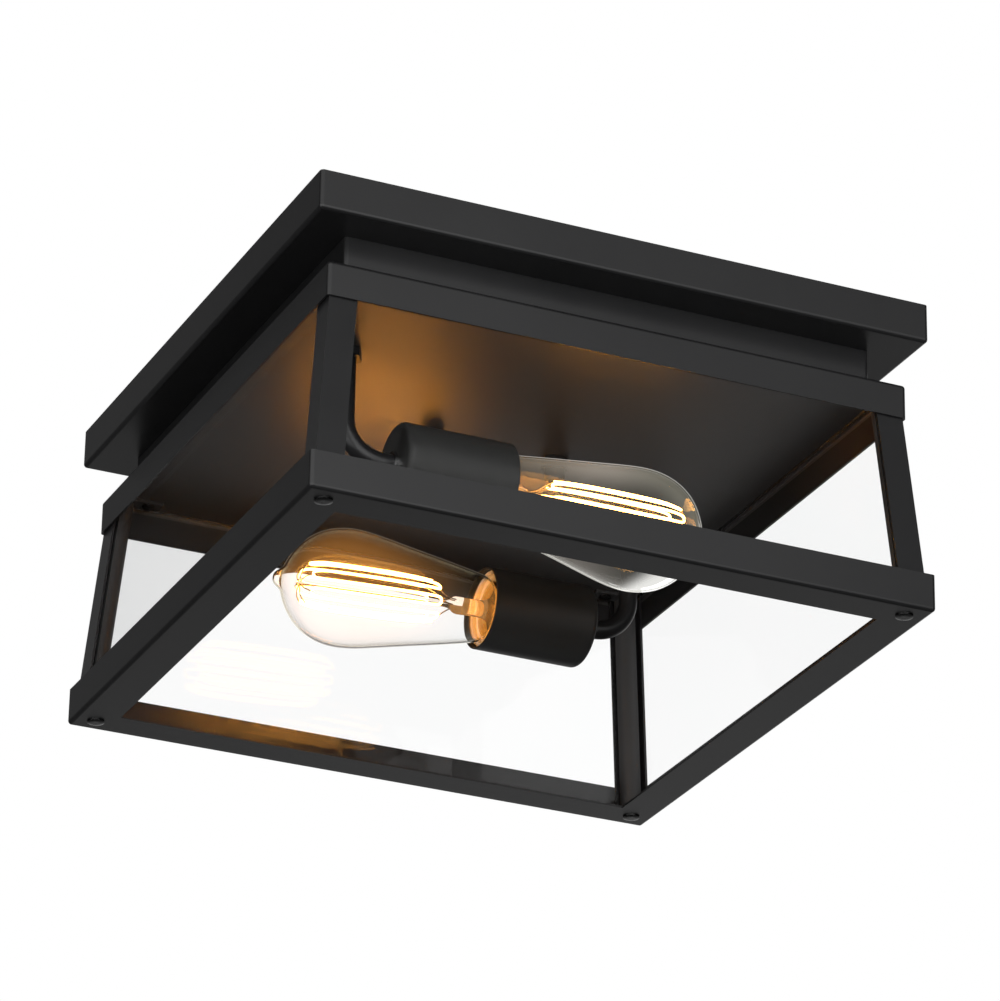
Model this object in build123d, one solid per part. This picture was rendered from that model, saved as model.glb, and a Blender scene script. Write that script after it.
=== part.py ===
from build123d import *
import os
from math import cos, pi, sin, sqrt

# Flush mount ceiling light: a ceiling pan and a neck carry a glazed, open-bottomed cage with two lamps.
# Millimetres. The origin is the middle of the ceiling face, Z is up, and the light hangs below it.
# The front is -Y and the left is -X.

# Sheet metal
sheet = 1.2
fold_radius = 2.0  # outside radius of a folded edge

# Ceiling pan, neck and cage
overall_height = 167.6  # ceiling to the underside of the bottom frame
pan_side = 330.0
pan_height = 20.8
neck_side = 285.3
neck_height = 21.9
neck_flange = 8.0  # turned in at the top and the bottom of the neck
tray_side = 312.6
tray_height = 18.4
frame_side = 331.3
frame_height = 19.4
frame_flange = 21.6

# Corner posts, which lean outwards towards the bottom
post_leg = 14.5
post_sheet = 1.2
post_gap_tray = 0.3  # post to the tray's wall at its lower edge, and to its fold at the plate
post_gap_frame = 1.45  # post to frame wall, at the frame's flange

# Glass panes
glass_thickness = 3.0
glass_gap = 0.3  # pane to post, and pane to column
glass_seat_gap = 0.2  # pane to the flange that carries it
glass_top_gap = 0.8  # pane to the tray's plate
glass_corner_gap = 0.5  # pane's end to the next pane

# Corner columns, which clamp the panes and take the frame screws
column_width = 8.5
column_nose = 7.0
foot_length = 14.5
foot_sheet = 1.5

# Screws
frame_screw_r = 2.0
frame_screw_head_r = 4.5
frame_screw_head_h = 1.1
frame_screw_rim = 0.7  # straight rim under its nearly flat face
frame_screw_bite = 12.0  # length in the column
foot_screw_r = 1.6
foot_screw_head_r = 3.3
foot_screw_head_h = 2.0
head_rim = 0.9  # straight rim under the other screws' domed heads
cross_length = 4.8
cross_width = 1.1
cross_depth = 0.8
screw_hole_gap = 0.25
thread_gap = 0.1

# Crossbar on the ceiling box, with its studs and cap nuts
crossbar_length = 112.0
crossbar_width = 25.0
crossbar_sheet = 1.6
box_slot_spacing = 88.9
box_slot_r = 2.4
box_slot_length = 10.0
stud_spacing = 70.0
stud_r = 2.0
stud_bite = 8.0  # length in the cap nut
stud_nut_flats = 8.0
stud_nut_height = 3.2
stud_hole_gap = 0.5
cap_flange_r = 7.0
cap_flange_height = 2.0
cap_dome_r = 5.6
cap_height = 14.0
ground_screw_x = 16.0
ground_screw_r = 2.0
ground_screw_head_r = 4.2
ground_screw_head_h = 2.6

# Lamp arms
lamp_y = 71.0  # lamp axis, from the middle plane
lamp_z = -101.0
arm_r = 5.0
arm_wall = 1.2
arm_bend = 20.0
arm_neck = 5.0  # straight stretch between the bend and the collar
arm_top = 8.7  # arm's end above the plate
arm_hole_gap = 0.2
arm_nut_flats = 14.0
arm_nut_height = 5.0
arm_thread = 14.0  # arm's end inside the holder's hub
collar_r = 6.6
collar_width = 1.5

# Socket cups and lampholders
cup_mouth_x = -26.0
cup_length = 59.0
cup_r = 22.0
cup_wall = 1.2
cup_shoulder = 3.2  # rounding of the rear
cup_lip = 0.45  # rounding of the mouth's rim
front_holder_recess = 8.3  # how deep each holder's face lies in its cup
back_holder_recess = 3.4
holder_mouth_r = 18.2  # wider front of the holder's bore
holder_mouth_depth = 2.0
holder_gap = 0.3
holder_floor = 4.0
hub_r = 9.0
wire_bore_r = 3.6
shell_r = 14.5  # inside radius of the screw shell
shell_wall = 0.5
shell_lip = 0.8  # shell's front edge behind the step in the holder's bore
contact_r = 4.0
contact_thickness = 1.2
contact_gap = 0.2

# Bulbs: a teardrop envelope on a screw cap
front_droop_angle = 5.0  # degrees; each bulb hangs a little in the slack of its screw shell
back_droop_angle = 2.2  # degrees
front_bulb_depth = 34.9  # bulb's contact, from the cup's mouth
back_bulb_depth = 31.8
cap_r = 13.2
cap_thread_depth = 0.7
cap_pitch = 3.63
cap_turns = 5
cap_length = 25.0
cap_wall = 0.4
cap_skirt_gap = 0.3  # cap to glass
insulator_length = 3.2
insulator_r = 9.5
button_r = 4.6
button_height = 1.2
glass_wall = 0.9
glass_root = 1.6  # glass inside the cap's rim
neck_r = 17.8
neck_start = 32.0  # these three places are measured from the bulb's contact
cone_end = 84.0
cone_end_r = 27.7
belly = 104.0
belly_r = 31.2
bulb_length = 142.0
tip_r = 4.4
tip_length = 6.9

# Stem, support wires and filament
stem_flare = 8.0
stem_r = 4.2
stem_end = 50.0
rod_r = 1.1
rod_end = 133.0
rod_button_r = 2.2
filament_start = 62.0
filament_end = 128.0
filament_cage_r = 11.5
filament_r = 0.45
filament_runs = 10
support_r = 0.35
support_gap = 0.35  # wire's ends to the stem, rod and filament
support_hook = 1.5  # hook's end short of the filament's bend

# Heights and places that follow from the sizes
pan_low = -pan_height
tray_top = pan_low - neck_height
plate_z = tray_top - sheet  # underside of the tray's plate
tray_low = tray_top - tray_height
frame_low = -overall_height
flange_z = frame_low + sheet  # upper face of the frame's flange
post_height = plate_z - flange_z
in_tray = (plate_z - tray_low) / post_height  # share of the post inside the tray's wall
post_half_frame = frame_side / 2 - sheet - post_gap_frame
post_half_wall = tray_side / 2 - sheet - post_gap_tray
post_half_fold = tray_side / 2 - fold_radius - post_gap_tray
post_half = min(post_half_fold, (post_half_wall - in_tray * post_half_frame) / (1 - in_tray))  # at the plate
lean = (post_half_frame - post_half) / post_height
column_inset = post_sheet + 2 * glass_gap + glass_thickness
cup_rear_x = cup_mouth_x - cup_length
arm_x = cup_rear_x - collar_width - arm_neck - arm_bend
hub_end_x = cup_rear_x + cup_wall
arm_end_x = hub_end_x + arm_thread
corners = {"front_left": (-1, -1), "front_right": (1, -1), "back_left": (-1, 1), "back_right": (1, 1)}
half_turn = Rot(0, 0, 180)  # the back lamp is the front lamp turned half round
lamps = {"front_": (Rot(0, 0, 0), front_holder_recess, front_bulb_depth, front_droop_angle),
         "back_": (half_turn, back_holder_recess, back_bulb_depth, back_droop_angle)}
lamp_axis = Pos(0, -lamp_y, lamp_z)
parts = {}


def box(x, y, z):
    """Box between two values on each axis."""
    size = (x[1] - x[0], y[1] - y[0], z[1] - z[0])
    return Pos((x[0] + x[1]) / 2, (y[0] + y[1]) / 2, (z[0] + z[1]) / 2) * Box(*size)


def square(side, z):
    """Square block about the Z axis."""
    return box((-side / 2, side / 2), (-side / 2, side / 2), z)


def rod(r, z):
    """Round bar along Z between two heights."""
    return Pos(0, 0, (z[0] + z[1]) / 2) * Cylinder(r, z[1] - z[0])


def hexagon(flats, z):
    """Hexagonal bar along Z between two heights."""
    return Pos(0, 0, z[0]) * extrude(RegularPolygon(flats / 2, 6, major_radius=False), z[1] - z[0])


def turned(*edges):
    """Solid turned about the X axis from an outline of places along X and radii."""
    return revolve(Plane.XZ * make_face(edges), Axis.X)


def turned_outline(*points):
    """Solid turned about the X axis from a straight-sided outline."""
    return turned(Polyline(*points, close=True))


def folded_tray(side, height, low, floor_low):
    """Open box of folded sheet, with its floor at the bottom or at the top."""
    def block(block_side, block_low, radius):
        solid = square(block_side, (block_low, block_low + height))
        floor_edges = solid.edges().group_by(Axis.Z)[0 if floor_low else -1]
        return fillet(solid.edges().filter_by(Axis.Z) + floor_edges, radius)
    hollow_low = low + sheet if floor_low else low - sheet
    return block(side, low, fold_radius) - block(side - 2 * sheet, hollow_low, fold_radius - sheet)


def lean_half(z):
    """Half the distance between the outer faces of opposite posts at a height."""
    return post_half + (plate_z - z) * lean


def leaning(face, top, low):
    """Prism that leans outwards in the +X +Y corner, from a face at its top."""
    run = (top - low) * sqrt(1 + 2 * lean ** 2)
    return extrude(Pos(0, 0, top) * face, run, dir=(lean, lean, -1))


def in_corner(solid, sx, sy):
    """Copy of a +X +Y corner piece in another corner."""
    if sx < 0:
        solid = mirror(solid, Plane.YZ)
    return mirror(solid, Plane.XZ) if sy < 0 else solid


def pan_head_screw(head_r, head_h, rim_h, shank_r, shank_length, crossed):
    """Screw that points up, with the seat of its domed head at the origin."""
    rim = (rim_h, head_r)
    edges = [Line((0, 0), (0, head_r)), Line((0, head_r), rim), Line((head_h, 0), (0, 0)),
             Spline(rim, (head_h, 0), tangents=[(head_h, -head_r / 2), (0, -1)])]
    head = Rot(0, 90, 0) * turned(*edges)
    screw = head + rod(shank_r, (0, shank_length))
    if crossed:
        slot = square(cross_width, (-head_h, cross_depth - head_h))
        arm = Box(cross_length, cross_width, cross_depth)
        arm = Pos(0, 0, cross_depth / 2 - head_h) * arm
        screw = screw - slot - arm - Rot(0, 0, 90) * arm
    return screw


def straight_wire(start, end, r):
    """Round wire between two points."""
    run = Vector(*end) - Vector(*start)
    return Plane(origin=start, z_dir=run) * extrude(Circle(r), run.length)


def group(solids):
    """Several separate solids as one node."""
    return Compound(children=list(solids))


# Ceiling pan, neck and tray
neck_hole = neck_side - 2 * sheet - 2 * neck_flange
neck_through = square(neck_hole, (tray_top - neck_height, 0))
ceiling_pan = folded_tray(pan_side, pan_height, pan_low, True)
parts["ceiling_pan"] = ceiling_pan - neck_through

neck_block = square(neck_side, (tray_top, pan_low))
neck_block = fillet(neck_block.edges().filter_by(Axis.Z), fold_radius)
neck_room = square(neck_side - 2 * sheet, (tray_top + sheet, pan_low - sheet))
parts["neck_box"] = neck_block - neck_room - neck_through

column_top = post_half - column_inset
foot_screw = (column_top - column_width - foot_length / 2, column_top - column_width / 2)
foot_screw_spots = [Pos(sx * foot_screw[0], sy * foot_screw[1], 0) for sx, sy in corners.values()]
stud_spots = [Pos(side * stud_spacing / 2, 0, 0) for side in (-1, 1)]
arm_spots = [Pos(side * arm_x, -side * lamp_y, 0) for side in (-1, 1)]
plate_depth = (plate_z, tray_top)
cage_tray = folded_tray(tray_side, tray_height, tray_low, False)
for spots, hole_r in ((foot_screw_spots, foot_screw_r + thread_gap),
                      (stud_spots, stud_r + stud_hole_gap), (arm_spots, arm_r + arm_hole_gap)):
    for spot in spots:
        cage_tray = cage_tray - spot * rod(hole_r, plate_depth)
parts["cage_tray"] = cage_tray

# Bottom frame and its screws
column_low = lean_half(flange_z) - column_inset
frame_screw = column_low - column_width / 2
frame_screw_spots = [Pos(sx * frame_screw, sy * frame_screw, frame_low) for sx, sy in corners.values()]
bottom_frame = folded_tray(frame_side, frame_height, frame_low, True)
bottom_frame = bottom_frame - square(frame_side - 2 * frame_flange, (frame_low, flange_z))
for spot in frame_screw_spots:
    bottom_frame = bottom_frame - spot * rod(frame_screw_r + screw_hole_gap, (0, sheet))
parts["bottom_frame"] = bottom_frame
frame_screw_solid = pan_head_screw(frame_screw_head_r, frame_screw_head_h, frame_screw_rim, frame_screw_r,
                                   sheet + frame_screw_bite, True)
parts["frame_screws"] = group(spot * frame_screw_solid for spot in frame_screw_spots)

# Corner posts: angle sections that stand on the flange and reach up to the tray's plate
outer = post_half
inner = post_half - post_sheet
tip = post_half - post_leg
post_face = make_face(Polyline((tip, outer), (outer, outer), (outer, tip), (inner, tip),
                               (inner, inner), (tip, inner), close=True))
post = leaning(post_face, plate_z, flange_z)

# Corner columns: round-nosed bars with a foot under the plate and a tapped hole at the bottom
column_middle = column_top - column_width / 2
column_face = Pos(column_middle, column_middle) * Rectangle(column_width, column_width)
nose_corner = column_face.vertices().sort_by(Axis.X)[:2].sort_by(Axis.Y)[0]
column_face = fillet(nose_corner, column_nose)
column = leaning(column_face, plate_z, flange_z)
column_side = column_top - column_width
foot = box((column_side - foot_length, column_middle), (column_side, column_top),
           (plate_z - foot_sheet, plate_z))
column = column + foot
column = column - Pos(*foot_screw, 0) * rod(foot_screw_r + screw_hole_gap, (plate_z - foot_sheet, plate_z))
frame_screw_hole = rod(frame_screw_r + thread_gap, (flange_z, flange_z + frame_screw_bite + thread_gap))
column = column - Pos(frame_screw, frame_screw, 0) * frame_screw_hole
for corner, signs in corners.items():
    parts["post_" + corner] = in_corner(post, *signs)
    parts["column_" + corner] = in_corner(column, *signs)
foot_screw_solid = pan_head_screw(foot_screw_head_r, foot_screw_head_h, head_rim, foot_screw_r,
                                  foot_sheet + sheet, False)
parts["foot_screws"] = group(Pos(0, 0, plate_z - foot_sheet) * spot * foot_screw_solid
                             for spot in foot_screw_spots)


def pane_face(z):
    """Level section of the front pane at a height."""
    half = lean_half(z)
    front = half - post_sheet - glass_gap
    width = 2 * (front - glass_thickness - glass_corner_gap)
    return Pos(0, glass_thickness / 2 - front, z) * Rectangle(width, glass_thickness)


# Glass panes
pane = loft([pane_face(flange_z + glass_seat_gap), pane_face(plate_z - glass_top_gap)], ruled=True)
for name, turn in (("front", 0), ("right", 90), ("back", 180), ("left", -90)):
    parts["glass_" + name] = Rot(0, 0, turn) * pane

# Crossbar, studs, nuts and ground screw
crossbar = box((-crossbar_length / 2, crossbar_length / 2), (-crossbar_width / 2, crossbar_width / 2),
               (-crossbar_sheet, 0))
crossbar = fillet(crossbar.edges().filter_by(Axis.Z), fold_radius)
box_slot = Pos(0, 0, -crossbar_sheet) * extrude(SlotOverall(box_slot_length, 2 * box_slot_r), crossbar_sheet)
for side in (-1, 1):
    crossbar = crossbar - Pos(side * box_slot_spacing / 2, 0, 0) * box_slot
crossbar_depth = (-crossbar_sheet, 0)
for spot in stud_spots:
    crossbar = crossbar - spot * rod(stud_r + thread_gap, crossbar_depth)
parts["crossbar"] = crossbar - Pos(ground_screw_x, 0, 0) * rod(ground_screw_r + thread_gap, crossbar_depth)
stud_end = plate_z - stud_bite
parts["crossbar_studs"] = group(spot * rod(stud_r, (stud_end, 0)) for spot in stud_spots)
stud_nut = hexagon(stud_nut_flats, (-crossbar_sheet - stud_nut_height, -crossbar_sheet))
stud_nut = stud_nut - rod(stud_r + thread_gap, (-crossbar_sheet - stud_nut_height, -crossbar_sheet))
parts["stud_nuts"] = group(spot * stud_nut for spot in stud_spots)
cap_side = cap_height - cap_dome_r
cap_nut = Rot(0, 90, 0) * turned(
    Polyline((0, 0), (0, cap_flange_r), (cap_flange_height, cap_flange_r),
             (cap_flange_height, cap_dome_r), (cap_side, cap_dome_r)),
    RadiusArc((cap_side, cap_dome_r), (cap_height, 0), cap_dome_r), Line((cap_height, 0), (0, 0)))
cap_nut = Pos(0, 0, plate_z) * cap_nut - rod(stud_r + thread_gap, (stud_end - thread_gap, plate_z))
parts["cap_nuts"] = group(spot * cap_nut for spot in stud_spots)
ground_screw = pan_head_screw(ground_screw_head_r, ground_screw_head_h, head_rim, ground_screw_r,
                              crossbar_sheet, False)
parts["ground_screw"] = Pos(ground_screw_x, 0, -crossbar_sheet) * ground_screw

# Lamp arms: bent tubes through the plate, each between two nuts, that carry the socket cups
arm_end = (arm_end_x, -lamp_y, lamp_z)
arm_corner = (arm_x, -lamp_y, lamp_z)
arm_head = (arm_x, -lamp_y, tray_top + arm_top)
arm_path = FilletPolyline(arm_end, arm_corner, arm_head, radius=arm_bend)
arm_start = Plane(origin=arm_end, z_dir=(-1, 0, 0))
arm = sweep(arm_start * Circle(arm_r), arm_path) - sweep(arm_start * Circle(arm_r - arm_wall), arm_path)


def arm_nut(low):
    """Nut on the front arm's upright, from its lower face."""
    nut = hexagon(arm_nut_flats, (low, low + arm_nut_height))
    return Pos(arm_x, -lamp_y, 0) * (nut - rod(arm_r + thread_gap, (low, low + arm_nut_height)))


lower_nut = arm_nut(plate_z - arm_nut_height)
upper_nut = arm_nut(tray_top)
parts["arm_lower_nuts"] = group((lower_nut, half_turn * lower_nut))
parts["arm_upper_nuts"] = group((upper_nut, half_turn * upper_nut))
collar = lamp_axis * turned_outline(
    (cup_rear_x - collar_width, arm_r + thread_gap), (cup_rear_x, arm_r + thread_gap),
    (cup_rear_x, collar_r), (cup_rear_x - collar_width, collar_r))
parts["arm_collars"] = group((collar, half_turn * collar))

# Socket cup: a tube with a closed, rounded rear and an eased mouth
shoulder_x = cup_rear_x + cup_shoulder
inner_shoulder = cup_shoulder - cup_wall
cup_inner = cup_r - cup_wall
cup_hole = arm_r + arm_hole_gap
cup = turned(
    Line((cup_mouth_x, cup_inner), (cup_mouth_x, cup_r)),
    Line((cup_mouth_x, cup_r), (shoulder_x, cup_r)),
    RadiusArc((shoulder_x, cup_r), (cup_rear_x, cup_r - cup_shoulder), -cup_shoulder),
    Polyline((cup_rear_x, cup_r - cup_shoulder), (cup_rear_x, cup_hole), (cup_rear_x + cup_wall, cup_hole),
             (cup_rear_x + cup_wall, cup_r - cup_shoulder)),
    RadiusArc((cup_rear_x + cup_wall, cup_r - cup_shoulder), (shoulder_x, cup_inner), inner_shoulder),
    Line((shoulder_x, cup_inner), (cup_mouth_x, cup_inner)))
mouth_rims = cup.edges().filter_by(GeomType.CIRCLE).group_by(Axis.X)[-1]
cup = lamp_axis * fillet(mouth_rims, cup_lip)

# Lampholders, with the screw shell and contact inside them
bore_r = shell_r + shell_wall + thread_gap


def lampholder(recess, depth):
    """Bored body with a hub on the arm, its screw shell and its centre contact."""
    face = cup_mouth_x - recess
    step = face - holder_mouth_depth
    floor = cup_mouth_x - depth - contact_gap - contact_thickness
    rear = floor - holder_floor
    body = turned_outline(
        (step, bore_r), (step, holder_mouth_r), (face, holder_mouth_r),
        (face, cup_inner - holder_gap), (rear, cup_inner - holder_gap),
        (rear, hub_r), (hub_end_x, hub_r), (hub_end_x, arm_r + thread_gap),
        (arm_end_x, arm_r + thread_gap), (arm_end_x, wire_bore_r), (rear, wire_bore_r),
        (rear, 0), (floor, 0), (floor, bore_r))
    shell = turned_outline(
        (step - shell_lip, shell_r), (step - shell_lip, shell_r + shell_wall),
        (floor, shell_r + shell_wall), (floor, shell_r))
    contact = turned_outline(
        (floor, 0), (floor, contact_r),
        (floor + contact_thickness, contact_r), (floor + contact_thickness, 0))
    return [lamp_axis * solid for solid in (body, shell, contact)]


for lamp, (turn, recess, depth, droop) in lamps.items():
    holder, shell, centre_contact = lampholder(recess, depth)
    for piece, solid in (("arm", arm), ("socket_cup", cup), ("lampholder", holder), ("screw_shell", shell),
                         ("centre_contact", centre_contact)):
        parts[lamp + piece] = turn * solid

# Bulb cap, modelled along X from the bulb's contact
thread_root = cap_r - cap_thread_depth
thread_start = cap_length - cap_pitch * cap_turns - cap_pitch / 2
thread = []
for turn in reversed(range(cap_turns)):
    groove = thread_start + turn * cap_pitch
    thread += [(groove + cap_pitch / 2, cap_r), (groove, thread_root)]
cap_inner = thread_root - cap_wall
insulator_rim = insulator_length - cap_wall
bulb_cap = turned_outline((insulator_length, insulator_r), (thread_start + cap_wall, cap_inner),
                          (cap_length, cap_inner), (cap_length, cap_r), *thread, (insulator_rim, insulator_r))
bulb_insulator = turned_outline((button_height, 0), (button_height, button_r), (insulator_rim, insulator_r),
                                (insulator_length, insulator_r), (insulator_length, 0))
bulb_button = turned_outline((0, 0), (0, button_r / 2), (button_height, button_r), (button_height, 0))


def envelope(inset):
    """Solid inside the envelope's surface, set in from the outside by a wall."""
    root = (cap_length - glass_root, thread_root - cap_wall - cap_skirt_gap - inset)
    throat = (cap_length + glass_root, thread_root - cap_wall - inset)
    neck = (neck_start, neck_r - inset)
    cone = (cone_end, cone_end_r - inset)
    end = (bulb_length - inset, 0)
    slope = (cone_end - neck_start, cone_end_r - neck_r)
    return turned(Line((root[0], 0), root), Line(root, throat),
                  Spline(throat, neck, tangents=[(slope[1], slope[0] / 2), slope]),
                  Line(neck, cone),
                  Spline(cone, (belly, belly_r - inset), end, tangents=[slope, (0, -1)]),
                  Line(end, (root[0], 0)))


# Glass of the bulb: envelope with its sealed tip, stem and rod
tip_root_x = bulb_length - tip_length
tip_end_x = bulb_length + tip_length
sealed_tip = turned(Line((tip_root_x, 0), (tip_root_x, tip_r)),
                    Spline((tip_root_x, tip_r), (tip_end_x, 0), tangents=[(1, 0), (0, -1)]),
                    Line((tip_end_x, 0), (tip_root_x, 0)))
bulb_room = envelope(glass_wall)
bulb_envelope = (envelope(0) + sealed_tip) - bulb_room
flare_r = thread_root - cap_wall - cap_skirt_gap - glass_wall
flare_x = cap_length - glass_root
bulb_stem = turned(Line((flare_x, 0), (flare_x, flare_r)),
                   Spline((flare_x, flare_r), (flare_x + stem_flare, stem_r), tangents=[(0, -1), (1, 0)]),
                   Polyline((flare_x + stem_flare, stem_r), (stem_end, stem_r), (stem_end, rod_r),
                            (rod_end, rod_r), (rod_end, rod_button_r), (rod_end + rod_button_r, rod_button_r),
                            (rod_end + rod_button_r, 0), (flare_x, 0)))

# Filament: straight runs on a round cage, joined by half-round bends at alternate ends
run_step = 2 * pi / (filament_runs + 1)
bend_r = filament_cage_r * sin(run_step / 2)


def on_cage(run, x, r=filament_cage_r):
    """Point on the cage at a run's angle; the gap between first and last runs is at the top."""
    angle = pi / 2 + run_step * (run + 1)
    return (x, r * cos(angle), r * sin(angle))


filament_edges = []
for run in range(filament_runs):
    forward = run % 2 == 0
    start_x, end_x = (filament_start, filament_end) if forward else (filament_end, filament_start)
    filament_edges.append(Line(on_cage(run, start_x), on_cage(run, end_x)))
    if run < filament_runs - 1:
        bulge_x = end_x + bend_r if forward else end_x - bend_r
        bulge = on_cage(run + 0.5, bulge_x, filament_cage_r * cos(run_step / 2))
        filament_edges.append(ThreePointArc(on_cage(run, end_x), bulge, on_cage(run + 1, end_x)))
filament_start_plane = Plane(origin=on_cage(0, filament_start), z_dir=(1, 0, 0))
bulb_filament = sweep(filament_start_plane * Circle(filament_r), Wire(filament_edges))

# Support wires: two leads from the stem to the filament's ends, and hooks from the rod to its far bends
hook_x = rod_end + rod_button_r / 2
wires = []
for run in (0, filament_runs - 1):
    lead_foot = on_cage(run, stem_end + support_gap, stem_r - support_r)
    lead_end = on_cage(run, filament_start - support_gap)
    wires.append(straight_wire(lead_foot, lead_end, support_r))
for run in range(0, filament_runs - 1, 2):
    hook_foot = on_cage(run + 0.5, hook_x, rod_button_r + support_gap)
    hook_end = on_cage(run + 0.5, filament_end + bend_r, filament_cage_r * cos(run_step / 2) - support_hook)
    wires.append(straight_wire(hook_foot, hook_end, support_r))
bulb_wires = group(wires)

# Bulbs in their holders, each turned about the middle of its cap
cap_middle = cap_length / 2
for lamp, (turn, recess, depth, droop) in lamps.items():
    seat = Pos(cup_mouth_x - depth + cap_middle, -lamp_y, lamp_z)
    place = turn * seat * Rot(0, droop, 0) * Pos(-cap_middle, 0, 0)
    for piece, solid in (("cap", bulb_cap), ("insulator", bulb_insulator), ("button", bulb_button),
                         ("envelope", bulb_envelope), ("stem", bulb_stem), ("wires", bulb_wires),
                         ("filament", bulb_filament)):
        parts[lamp + "bulb_" + piece] = place * solid

os.makedirs("parts", exist_ok=True)
for name, solid in parts.items():
    export_step(solid, "parts/" + name + ".step")
print(len(parts), "nodes; post lean", round(lean, 4))
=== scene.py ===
import math

import bmesh
import bpy
from mathutils import Matrix, Vector


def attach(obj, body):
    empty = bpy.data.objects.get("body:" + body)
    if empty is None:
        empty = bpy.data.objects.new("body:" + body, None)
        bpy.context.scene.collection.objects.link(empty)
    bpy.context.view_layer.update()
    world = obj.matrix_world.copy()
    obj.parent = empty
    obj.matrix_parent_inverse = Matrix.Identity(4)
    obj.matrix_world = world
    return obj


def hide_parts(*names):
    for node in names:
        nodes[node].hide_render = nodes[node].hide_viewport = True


# Flush mount ceiling light, hanging below the ceiling plane at z = 0. Metres, +Z up, front at -Y.
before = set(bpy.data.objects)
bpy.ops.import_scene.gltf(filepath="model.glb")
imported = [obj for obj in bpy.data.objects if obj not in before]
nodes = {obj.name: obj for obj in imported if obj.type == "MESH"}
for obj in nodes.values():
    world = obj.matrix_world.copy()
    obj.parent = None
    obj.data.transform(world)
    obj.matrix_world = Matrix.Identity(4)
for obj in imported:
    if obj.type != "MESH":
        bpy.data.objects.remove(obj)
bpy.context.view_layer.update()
MM = 0.001

# Places of the lamps and arms in millimetres, repeated from the part
LAMPS = ("front", "back")
LAMP_Y, LAMP_Z = 71.0, -101.0
CONTACT_X = {"front": -60.9, "back": -57.8}  # bulb's contact along the lamp's axis
CAP_MIDDLE = 12.5  # from the contact to the point about which a bulb droops
DROOP = {"front": 5.0, "back": 2.2}  # degrees
ARM_X, ARM_BEND, ARM_R, ARM_WALL = -111.5, 20.0, 5.0, 1.2
ARM_TOP = 67.0  # arm's upper end, above the lamp's axis
ARM_END = -69.8  # arm's end in the holder, along the lamp's axis
PLATE_REACH = 155.2  # inside of the tray's wall, from the middle
PLATE_LOW = -46.0  # a height between the plate and the wall's lower edge

BLACK, WHITE = (0.0, 0.0, 0.0), (1.0, 1.0, 1.0)


# Node helpers

def add(tree, kind, **values):
    """New shader node with its settings and unlinked inputs filled in."""
    node = tree.nodes.new(kind)
    for key, value in values.items():
        if key in node.inputs:
            node.inputs[key].default_value = value
        else:
            setattr(node, key, value)
    return node


def ranged(tree, value, start, stop, low=0.0, high=1.0, soft=False):
    """Value mapped from start and stop to low and high, with eased ends if soft."""
    ends = {"From Min": start, "From Max": stop, "To Min": low, "To Max": high}
    node = add(tree, "ShaderNodeMapRange", interpolation_type="SMOOTHSTEP" if soft else "LINEAR", **ends)
    tree.links.new(value, node.inputs["Value"])
    return node.outputs["Result"]


def reckon(tree, operation, first, second):
    """Math node on an output and an output or number."""
    node = add(tree, "ShaderNodeMath", operation=operation)
    tree.links.new(first, node.inputs[0])
    if isinstance(second, float):
        node.inputs[1].default_value = second
    else:
        tree.links.new(second, node.inputs[1])
    return node.outputs["Value"]


def axes(tree, vector):
    """Outputs X, Y and Z of a vector."""
    node = add(tree, "ShaderNodeSeparateXYZ")
    tree.links.new(vector, node.inputs["Vector"])
    return node.outputs


def along_way(tree, vector, way):
    """How far a vector reaches along a way."""
    node = add(tree, "ShaderNodeVectorMath", operation="DOT_PRODUCT")
    node.inputs[1].default_value = way
    tree.links.new(vector, node.inputs[0])
    return node.outputs["Value"]


def noise(tree, place, **values):
    """Noise pattern at a place."""
    node = add(tree, "ShaderNodeTexNoise", **values)
    tree.links.new(place, node.inputs["Vector"])
    return node.outputs["Fac"]


def colours(tree, factor, stops):
    """Colour ramp from a list of places and colours."""
    node = add(tree, "ShaderNodeValToRGB")
    ramp = node.color_ramp
    while len(ramp.elements) < len(stops):
        ramp.elements.new(0.5)
    for element, (position, colour) in zip(ramp.elements, stops):
        element.position = position
        element.color = (*colour, 1.0)
    tree.links.new(factor, node.inputs["Fac"])
    return node.outputs["Color"]


def mottled(tree, factor, dark, light):
    """Two shades mixed by a noise pattern."""
    return colours(tree, factor, [(0.3, dark), (0.7, light)])


def blended(tree, way, first, second):
    """Two colours blended in full, in one of the mix node's ways."""
    node = add(tree, "ShaderNodeMix", data_type="RGBA", blend_type=way, Factor=1.0)
    tree.links.new(first, node.inputs["A"])
    tree.links.new(second, node.inputs["B"])
    return node.outputs["Result"]


def chosen(tree, mask, kind, outside, inside):
    """Colour or number from outside a mask or from inside it."""
    node = add(tree, "ShaderNodeMix", data_type=kind)
    tree.links.new(mask, node.inputs["Factor"])
    tree.links.new(outside, node.inputs["A"])
    tree.links.new(inside, node.inputs["B"])
    return node.outputs["Result"]


def mix_shaders(tree, factor, first, second, end):
    """Two shaders mixed into the material's or world's end node."""
    node = add(tree, "ShaderNodeMixShader")
    tree.links.new(factor, node.inputs["Fac"])
    tree.links.new(first, node.inputs[1])
    tree.links.new(second, node.inputs[2])
    tree.links.new(node.outputs["Shader"], tree.nodes[end].inputs["Surface"])


def bump(tree, shader, height, strength, distance):
    """Bump from a height onto the shader's normal."""
    node = add(tree, "ShaderNodeBump", Strength=strength, Distance=distance)
    tree.links.new(height, node.inputs["Height"])
    tree.links.new(node.outputs["Normal"], shader.inputs["Normal"])


def lay_out(tree, column=220, row=190):
    """Sets a tree's nodes out in columns, from its end leftwards."""
    depth = {node.name: 0 for node in tree.nodes}
    for _ in tree.nodes:
        for link in tree.links:
            depth[link.from_node.name] = max(depth[link.from_node.name], depth[link.to_node.name] + 1)
    used = {}
    for node in tree.nodes:
        across = depth[node.name]
        node.location = (-column * across, -row * used.get(across, 0))
        used[across] = used.get(across, 0) + 1


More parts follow.
